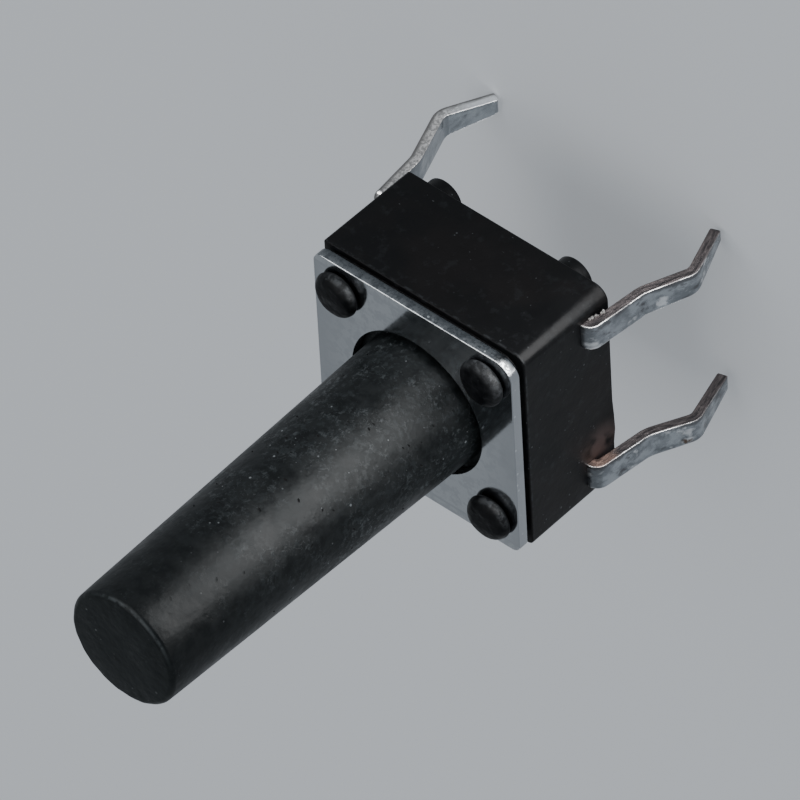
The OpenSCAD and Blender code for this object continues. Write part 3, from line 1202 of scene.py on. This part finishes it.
@dataclass
class LongButton:
    """Tapered button with a straight neck, a flange under the cover and a round foot."""

    foot_z: float = 1.82
    flange_bottom_z: float = 2.58
    flange_top_z: float = 3.28
    cover_top_z: float = 3.60
    end_z: float = 13.5
    foot_r: float = 0.8
    flange_r: float = 2.22
    root_r: float = 1.75
    end_r: float = 1.53
    edge_r: float = 0.14
    chips: tuple[Point, ...] = ((0.006, 3, 0.7), (0.004, 11, 0.0), (0.003, 23, 1.0))
    chips_in: float = 0.12
    chips_down: float = 0.10
    rim_in: float = 0.04
    rim_half: float = 0.035
    # Direction and half width of the rim's rubbed wear and painted highlight, in radians
    rubbed_highlight_towards: float = 1.25
    rubbed_highlight_half: float = 0.80

    def outline(self) -> np.ndarray:
        """Outline from the foot over the flange and the taper to the middle of the end.

        Returns:
            Radius and height of each point, shaped (n, 2).
        """
        root, end = np.array([self.root_r, self.cover_top_z]), np.array([self.end_r, self.end_z])
        return rounded(
            [
                (0.02, self.foot_z, 0),
                (self.foot_r, self.foot_z, 0.06),
                (self.foot_r, self.flange_bottom_z, 0.05),
                (self.flange_r, self.flange_bottom_z, 0.08),
                (self.flange_r, self.flange_top_z, 0.08),
                (self.root_r, self.flange_top_z, 0.04),
                (self.root_r, self.cover_top_z, 0),
                *[(*(root + (end - root) * s), 0) for s in np.linspace(0.05, 0.95, 19)],
                (self.end_r, self.end_z, self.edge_r),
                (0.7, self.end_z, 0),
                (0.02, self.end_z - 0.004, 0),
            ],
            7,
        )

    def build(self) -> None:
        """Turns the outline about the axis, chips the rim of the end a little, and dresses the button.

        The chips are the sum of three sine waves round the rim. The mark "rim" is a bell about
        the middle of its rounding, times a bell about one direction: rubbed wear and a painted
        highlight on the side that the lights catch.
        """
        outline = self.outline()
        radius, height = outline[:, :1], outline[:, 1:]
        rings = turned(outline, 256)
        angle = angles(256)
        chips = sum(depth * (1 + np.sin(count * angle + phase)) for depth, count, phase in self.chips)
        chips = chips * bell(radius, self.end_r, self.chips_in) * bell(height, self.end_z, self.chips_down)
        rings[..., 2] -= chips
        rings[..., :2] *= (1 - 0.4 * chips)[..., None]
        bend = bell(radius, self.end_r - self.rim_in, self.rim_half, 4)
        bend = bend * bell(height, self.end_z - self.rim_in, self.rim_half, 4)
        marks = {"rim": bend * bell(off(angle, self.rubbed_highlight_towards), 0.0, self.rubbed_highlight_half, 4)}
        piece = lofted(rings, marks).to_piece("long_button", SatinButton().make("satin_charcoal_button"))
        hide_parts("button")
        dressed(piece, Body.BUTTON, "button_plastic")


@dataclass
class SnapDisc:
    """Domed spring disc under the button's foot."""

    rim_z: float = 1.38
    rise: float = 0.42
    rim_r: float = 2.22
    sheet: float = 0.07
    travel: float = 0.25
    play: float = 0.02

    def build(self) -> None:
        """Turns a shallow arc and its parallel under side about the axis.

        The outer arc is the circle of radius R through the rim and the top, and the inner one has
        the radius R less the sheet. A point at the slope a lies at (R sin a, top - R + R cos a).
        """
        big = (self.rim_r**2 + self.rise**2) / (2 * self.rise)
        small = big - self.sheet
        middle_z = self.rim_z + self.rise - big
        outer = np.linspace(0.004, math.asin(self.rim_r / big), 28)
        inner = np.linspace(math.acos((big - self.rise) / small), 0.004, 28)
        sides = ((big, outer), (small, inner))
        arcs = [np.column_stack([r * np.sin(a), middle_z + r * np.cos(a)]) for r, a in sides]
        disc = lofted(turned(np.concatenate(arcs), 128))
        piece = disc.to_piece("snap_disc", SpringStrip().make("rolled_spring_strip"))
        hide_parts("contact_dome")
        dressed(piece, Body.HOUSING, "spring_metal")
        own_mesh(piece)


# ---------------------------------------------------------------------------------------
# Terminals
# ---------------------------------------------------------------------------------------


def lump(x: float, y: float, z: float, size: float, turn: float) -> Surface:
    """Uneven ball: its radius swells and shrinks with three slow waves over its two angles.

    Args:
        x, y, z: Middle of the ball.
        size: Mean radius.
        turn: Phase of the waves, which makes each ball its own.

    Returns:
        The closed surface.
    """
    up = np.linspace(-np.pi / 2 + 0.12, np.pi / 2 - 0.12, 14)[:, None]
    around = angles(24)[None, :]
    waves = 0.22 * np.sin(2 * around + turn) * np.cos(up) + 0.18 * np.sin(3 * up + 2 * turn)
    waves = waves + 0.12 * np.sin(4 * around - 3 * turn) * np.cos(up) ** 2
    radius = size * (1 + waves)
    ball = [radius * np.cos(up) * np.cos(around), radius * np.cos(up) * np.sin(around), radius * np.sin(up)]
    return lofted(np.stack(np.broadcast_arrays(*ball), axis=-1)).moved(x, y, z)


@dataclass(frozen=True)
class PinLine:
    """Bends of one pin along the middle of its sheet, on the +X side, as it came from its tool.

    A pin leans out from where it crosses the board, kinks outwards, and comes back at its elbow.
    Below the elbow its -Y side is cut in.
    """

    board_x: float = 3.28
    lean_deg: float = 6.0
    kink_z: float = -0.38
    elbow: tuple[float, float] = (3.90, -1.62)
    end: tuple[float, float] = (3.37, -3.01)
    kink_r: float = 0.85
    elbow_r: float = 0.30
    tarnish: float = 0.6
    end_w: float = 0.42
    end_power: float = 1.0

    def corners(self, strip_z: float, bend_r: float) -> list[Point]:
        """Corners of the line with their radii, from the strip down to the pin's end.

        Args:
            strip_z: Height of the middle of the strip.
            bend_r: Radius of the bend where the pin leaves the strip.

        Returns:
            X, Z and radius of each corner.
        """
        slope = math.tan(math.radians(self.lean_deg))
        return [
            (self.board_x - strip_z * slope, strip_z, bend_r),
            (self.board_x - self.kink_z * slope, self.kink_z, self.kink_r),
            (*self.elbow, self.elbow_r),
            (*self.end, 0.0),
        ]


@dataclass
class Terminal:
    """Strip across the housing that ends in a kinked pin on each side."""

    y: float
    left: PinLine = PinLine()
    right: PinLine = PinLine()
    sheet: float = 0.26
    width: float = 0.7
    bend_r: float = 0.2
    strip_z: float = 1.155
    end_soft: float = 0.28
    end_break: Point = (0.035, 0.012, 0.003)
    burr_r: float = 0.015
    burr_fades_z: float = -1.35
    burr_fade: float = 0.5
    burr_lost: float = 0.8
    body_w: float = 6.0
    pattern_step: float = 7.0

    def section(self) -> tuple[np.ndarray, np.ndarray, np.ndarray]:
        """Outline of the cut sheet and its marks.

        The outer corners carry a burr and are nearly sharp, the inner ones are rolled over. The
        first coordinate is the distance from the middle of the sheet, outwards, and the second
        is the place across its width.

        Returns:
            Points shaped (n, 2), and for each point 1 on the sheared sides and 1 on the burrs.
        """
        t, w = self.sheet / 2, self.width / 2
        loop = [(t, 0, 0), (t, w, 0.014), (-t, w, 0.020), (-t, -w, 0.020), (t, -w, 0.014), (t, 0, 0)]
        edge = rounded(loop, 4)[:-1]
        fine: list[np.ndarray] = []
        for a, b in zip(edge, np.roll(edge, -1, axis=0)):
            parts = max(1, int(np.ceil(np.linalg.norm(b - a) / 0.022)))
            fine.append(a + (b - a) * np.arange(parts)[:, None] / parts)
        points = np.concatenate(fine)
        depth, place = points[:, 0], np.abs(points[:, 1])
        sheared = (place > w - np.where(depth < 0, 0.0195, 0.008)).astype(float)
        return points, sheared, bell(depth, t, self.burr_r) * bell(place, w, self.burr_r)

    def centre_line(self) -> np.ndarray:
        """Path of the middle of the sheet, with closer points where each cut end is broken.

        Returns:
            X and Z from the end of one pin to that of the other, shaped (n, 2).
        """
        right = self.right.corners(self.strip_z, self.bend_r)
        left = [(-x, z, r) for x, z, r in reversed(self.left.corners(self.strip_z, self.bend_r))]
        whole = rounded(left + right, 12)
        ends = []
        for tip, before in ((whole[0], whole[1]), (whole[-1], whole[-2])):
            along = (before - tip) / np.linalg.norm(before - tip)
            ends.append(tip + along * np.array([0.0, 0.012, 0.035, 0.08])[:, None])
        return np.concatenate([ends[0], whole[1:-1], ends[1][::-1]])

    def end_cut(self, line: np.ndarray) -> np.ndarray:
        """How far the -Y side is cut in at each point of the path.

        From the elbow at height e down to the end at height f the cut is
        (w - w1) * (1 - (1 - s) ** p), with w the width of the sheet and w1 and p the pin's own end
        width and power. The share s is (u + sqrt(u * u + k * k)) / 2 for u = (e - z) / (e - f),
        which rounds the corner where the cut starts.

        Args:
            line: X and Z of the path, shaped (n, 2).

        Returns:
            The cut at each point, in millimetres.
        """
        cut = np.zeros(len(line))
        for pin, side in ((self.left, -1), (self.right, 1)):
            top, low = pin.elbow[1], pin.end[1]
            sunk = (top - line[:, 1]) / (top - low)
            share = np.clip((sunk + np.hypot(sunk, self.end_soft)) / 2, 0, 1)
            share *= (side * line[:, 0] > 0) * (sunk > -1)
            cut += (self.width - pin.end_w) * (1 - (1 - share) ** pin.end_power)
        return cut

    def strip(self) -> Surface:
        """Sheet carried along its path.

        Each ring is the section set across the path: its first coordinate goes along the sideways
        direction halfway between the runs before and after, lengthened so that both faces stay
        parallel, and its second along Y. The rings at both ends shrink to break the cut edge. The
        tarnish goes evenly from one pin's to the other's across the body, and the place along the
        path is shifted by a step per millimetre of Y, so that no two strips carry the same pattern.

        Returns:
            The closed surface with its marks.
        """
        line = self.centre_line()
        run = np.diff(line, axis=0)
        length = np.linalg.norm(run, axis=1, keepdims=True)
        sideways = np.column_stack([-run[:, 1], run[:, 0]]) / length
        before = np.concatenate([sideways[:1], sideways])
        after = np.concatenate([sideways, sideways[-1:]])
        mitre = (before + after) / (1 + np.einsum("ij,ij->i", before, after))[:, None]
        section, sheared, burr = self.section()
        shrink = np.zeros(len(line))
        shrink[:3], shrink[-3:] = self.end_break, self.end_break[::-1]
        drawn_in = np.minimum(shrink[:, None, None], np.abs(section))
        depth, place = np.moveaxis(section - np.sign(section) * drawn_in, -1, 0)
        kept = 1 - self.end_cut(line)[:, None] / self.width
        place = self.width / 2 - (self.width / 2 - place) * kept
        x = line[:, :1] + mitre[:, :1] * depth
        z = line[:, 1:] + mitre[:, 1:] * depth
        rings = np.stack([x, self.y + place, z], axis=-1)
        to_right = np.clip(line[:, :1] / self.body_w + 0.5, 0, 1)
        walked = np.concatenate([[0.0], np.cumsum(length)])[:, None]
        past_elbow = np.clip((self.burr_fades_z - line[:, 1:]) / self.burr_fade, 0, 1)
        marks = {
            "sheared": sheared[None, :],
            "burr": burr[None, :] * (1 - self.burr_lost * past_elbow),
            "tarnish": self.left.tarnish * (1 - to_right) + self.right.tarnish * to_right,
            "along": walked + self.pattern_step * self.y,
            "through": section[None, :, 0],
            "across": section[None, :, 1],
        }
        whole = np.ones(rings.shape[:2])
        return lofted(rings, {mark: whole * values for mark, values in marks.items()})

    def pad_box(self, low: Point, high: Point) -> Surface:
        """Coined block between two corners, with its upright and upper edges broken.

        Args:
            low: Lowest corner.
            high: Highest corner.

        Returns:
            The closed surface, a stack of rings that draw in by the edge radius at the top.
        """
        (x0, y0, z0), (x1, y1, z1) = low, high
        middle = np.array([(x0 + x1) / 2, (y0 + y1) / 2])
        size = np.array([x1 - x0, y1 - y0])
        unit = square_ring(0.5, 0.04, 4, 4)
        levels = ((0.0, z0), (0.0, z1 - 0.02), (0.006, z1 - 0.006), (0.02, z1))
        return lofted(np.stack([at_height(middle + unit * (size - 2 * inset), z) for inset, z in levels]))

    def contact(self) -> list[Surface]:
        """Contact parts that this terminal carries inside the housing."""
        raise NotImplementedError

    def build(self, name: str, node: str, material: Material) -> None:
        """Joins the strip and its contact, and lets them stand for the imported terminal.

        Args:
            name: Name of the piece.
            node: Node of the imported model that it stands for.
            material: Finish of the whole piece.
        """
        piece = joined([self.strip()] + self.contact()).to_piece(name, material)
        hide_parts(node)
        dressed(piece, Body.HOUSING, "tinned_metal")


@dataclass
class OuterTerminal(Terminal):
    """Terminal with a pad under the rim of the snap disc."""

    y: float = 2.25
    # A painted glint: a flat bright disc at the left pin's root, turned to mirror the soft light towards the
    # camera
    glint_disc_at: Point = (-3.272, 2.600, 1.020)
    glint_disc_faces: Point = (0.12, 0.78, 0.61)
    glint_disc_r: float = 0.075
    glint_disc_thick: float = 0.012
    left: PinLine = PinLine(3.355, 6.2, -0.35, (3.924, -1.79), (3.289, -3.005), 0.80, 0.42, 0.12)
    right: PinLine = PinLine(
        3.281, 5.5, -0.427, (3.821, -1.625), (3.354, -2.943), 0.94, 0.38, 0.70, 0.30, 1.8
    )

    def contact(self) -> list[Surface]:
        """The pad, coined up from the strip's inner edge, and the painted glint's disc at the left pin's
        root.
        """
        return [self.pad_box((-0.55, 1.90, 1.26), (0.55, 2.25, 1.376)), self.glint_disc()]

    def glint_disc(self) -> Surface:
        """Painted glint, a flat bright disc: an ellipsoid, round about the direction that it faces.

        Returns:
            The closed surface, marked as a bare bright burr so that it shows a glint.
        """
        up = np.linspace(-np.pi / 2 + 0.1, np.pi / 2 - 0.1, 13)
        rings = turned(np.column_stack([self.glint_disc_r * np.cos(up), self.glint_disc_thick * np.sin(up)]), 32)
        bright = np.ones(rings.shape[:2])
        flat = lofted(rings, {"burr": bright, "tarnish": bright})
        turn = np.array(Vector(self.glint_disc_faces).to_track_quat("Z", "X").to_matrix())
        return Surface(flat.points @ turn.T, flat.quads, flat.triangles, flat.marks).moved(*self.glint_disc_at)


@dataclass
class MiddleTerminal(Terminal):
    """Terminal with a tongue to the round pad under the middle of the disc."""

    y: float = -2.25
    left: PinLine = PinLine(3.295, 6.0, -0.36, (3.897, -1.66), (3.364, -3.005), 0.85, 0.30, 0.45)
    right: PinLine = PinLine(3.317, 6.8, -0.367, (3.903, -1.419), (3.504, -2.839), 0.90, 0.34, 1.0, 0.40, 1.3)

    def contact(self) -> list[Surface]:
        """The contact under the middle of the disc.

        Returns:
            The tongue, and the round pad at its end.
        """
        tongue = self.pad_box((-0.35, -2.0, 1.034), (0.35, 0.0, 1.278))
        pad = rounded([(0.02, 1.04, 0), (0.5, 1.04, 0), (0.5, 1.378, 0.03), (0.02, 1.378, 0)], 4)
        return [tongue, lofted(turned(pad, 64))]


@dataclass
class RootCrumbs:
    """Crumbs that cling to the upper edge of one pin, each with its X, Y, Z and radius."""

    spots: tuple[tuple[float, float, float, float], ...] = (
        (3.020, 2.595, 1.00, 0.044),
        (3.045, 2.612, 0.95, 0.036),
        (3.028, 2.600, 0.90, 0.022),
        (3.062, 2.606, 0.845, 0.040),
        (3.080, 2.596, 0.79, 0.024),
        (3.106, 2.608, 0.685, 0.030),
        (3.122, 2.612, 0.635, 0.046),
        (3.100, 2.585, 0.655, 0.026),
    )

    def build(self) -> None:
        """Makes the crumbs as one piece."""
        lumps = [lump(*spot, turn=1.7 * i) for i, spot in enumerate(self.spots)]
        piece = joined(lumps).to_piece("pin_root_crumbs", Residue().make("pale_residue"), 80.0)
        dressed(piece, Body.HOUSING, "tinned_metal")


def dressed(piece: Piece, body: Body, slot: str) -> None:
    """Lets a piece ride on a body and logs the record's material slot of its finish.

    Args:
        piece: The finished object.
        body: The body that it moves with.
        slot: Name of the record's material slot.
    """
    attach(piece, body.value)
    log.info("%s rides on %s and takes %s", piece.name, body.value, slot)


# ---------------------------------------------------------------------------------------
# Studio
# ---------------------------------------------------------------------------------------


def posed(place: Vector, *axes: Vector) -> Matrix:
    """Matrix of an object that stands at a place in millimetres, with its own axes in three directions."""
    return Matrix.Translation(place * MM) @ Matrix(axes).transposed().to_4x4()


@dataclass(frozen=True)
class Panel:
    """One-sided panel of light that the camera doesn't see, placed in millimetres."""

    name: str
    place: Point
    towards: Point
    size: tuple[float, float]
    radiance: float

    def build(self) -> Piece:
        """Adds the panel, facing its aim: the power is the radiance times pi times the panel's area.

        Returns:
            The light.
        """
        data = bpy.data.lights.new(self.name, "AREA")
        data.shape = "RECTANGLE"
        data.size, data.size_y = self.size[0] * MM, self.size[1] * MM
        data.energy = self.radiance * math.pi * data.size * data.size_y
        lamp = bpy.data.objects.new(self.name, data)
        facing = (Vector(self.place) - Vector(self.towards)).normalized()
        guide = Vector((0, 0, 1)) if abs(facing.z) < 0.95 else Vector((0, 1, 0))
        across = guide.cross(facing).normalized()
        lamp.matrix_world = posed(Vector(self.place), across, facing.cross(across), facing)
        lamp.visible_camera = False
        bpy.context.scene.collection.objects.link(lamp)
        return lamp


@dataclass
class Studio:
    """Pale floor, pale surroundings, an overhead light, a card of light beside the switch, and the camera."""

    aim: Point = (0.0308, 0.5659, 4.1634)
    distance: float = 359.94
    azimuth_deg: float = 145.925
    elevation_deg: float = 30.153
    roll_deg: float = 129.944
    lens: float = 720.0
    sky: Colour = (0.88, 0.94, 1.0)
    horizon_strength: float = 0.60
    sky_strength: float = 0.36
    fade_from: float = 0.02
    fade_to: float = 0.34
    floor_rings: Radii = (0.5, 60.0, 240.0, 900.0)
    overhead: Panel = Panel("overhead", (-60.0, 90.0, 420.0), (0.0, 0.0, 0.0), (320.0, 320.0), 1.8)
    soft: Panel = Panel("soft_side", (-20.0, 58.0, 50.0), (0.0, 0.0, 4.0), (62.0, 40.0), 3.5)
    card_deg: float = 48.0
    card_away: float = 9.5
    card_z: float = 3.5

    def camera(self) -> None:
        """Places the camera at a distance from the aim, turned about its own line of sight."""
        a, e, r = (math.radians(v) for v in (self.azimuth_deg, self.elevation_deg, self.roll_deg))
        back = Vector((math.sin(a) * math.cos(e), -math.cos(a) * math.cos(e), math.sin(e)))
        level = Vector((0, 0, 1)).cross(back).normalized()
        rise = back.cross(level)
        up = rise * math.cos(r) + level * math.sin(r)
        right = level * math.cos(r) - rise * math.sin(r)
        data = bpy.data.cameras.new("camera")
        data.lens = self.lens
        data.clip_start, data.clip_end = 0.01, 4.0
        view = bpy.data.objects.new("camera", data)
        view.matrix_world = posed(Vector(self.aim) + back * self.distance, right, up, back)
        bpy.context.scene.collection.objects.link(view)
        bpy.context.scene.camera = view

    def surroundings(self) -> None:
        """Fills the world with one pale tone, brighter at the horizon and even above about 20 degrees."""
        world = bpy.data.worlds.new("pale_surroundings")
        world.use_nodes = True
        tree = world.node_tree
        upwards = add_node(tree, "SeparateXYZ", {0: add_node(tree, "TexCoord").outputs["Generated"]})
        ends = {
            "Value": upwards.outputs["Z"],
            "From Min": self.fade_from,
            "From Max": self.fade_to,
            "To Min": self.horizon_strength,
            "To Max": self.sky_strength,
        }
        fade = add_node(tree, "MapRange", ends, interpolation_type="SMOOTHSTEP")
        feed(tree.nodes["Background"].inputs["Color"], self.sky)
        feed(tree.nodes["Background"].inputs["Strength"], fade.outputs["Result"])
        bpy.context.scene.world = world

    def floor(self) -> Piece:
        """Lays the floor under the ends of the pins, a disc of rings at one height.

        Returns:
            The floor.
        """
        z = CAD_BOX[0].z / MM
        rings = np.stack([at_height(circle(96) * radius, z) for radius in self.floor_rings])
        points = np.concatenate([rings.reshape(-1, 3), [[0.0, 0.0, z]]])
        here = np.arange(96)
        fan = np.stack([here, np.roll(here, -1), np.full(96, len(points) - 1)], axis=-1)
        sheet = Surface(points, ring_quads(4, 96)[:, ::-1], fan)
        piece = sheet.to_piece("floor", PaleFloor().make("pale_floor"))
        return piece

    def build(self) -> None:
        """Sets the whole studio up, with the card lighting all but the floor and no diffuse surface."""
        self.camera()
        self.surroundings()
        floor = self.floor()
        self.overhead.build()
        a = math.radians(self.card_deg)
        beside = (self.card_away * math.cos(a), self.card_away * math.sin(a), self.card_z)
        card = Panel("card", beside, (0.0, 0.0, self.card_z), (9.0, 13.0), 10.5).build()
        soft = self.soft.build()
        spared = bpy.data.collections.new("not_lit_by_card")
        spared.objects.link(floor)
        spared.collection_objects[0].light_linking.link_state = "EXCLUDE"
        card.light_linking.receiver_collection = spared
        card.visible_diffuse = False
        soft.visible_diffuse = False
        log.info("studio: floor, surroundings, three lights and a camera of %.0f mm", self.lens)


def main() -> None:
    """Builds the studio and then the switch, from the housing outwards."""
    logging.basicConfig(level=logging.INFO, format="%(name)s %(message)s", stream=sys.stdout, force=True)
    Studio().build()
    Housing().build()
    Cover().build()
    LongButton().build()
    SnapDisc().build()
    tin = TinnedPins().make("tinned_strip")
    OuterTerminal().build("outer_strip", "outer_terminal", tin)
    MiddleTerminal().build("middle_strip", "middle_terminal", tin)
    RootCrumbs().build()


if __name__ == "__main__":
    main()
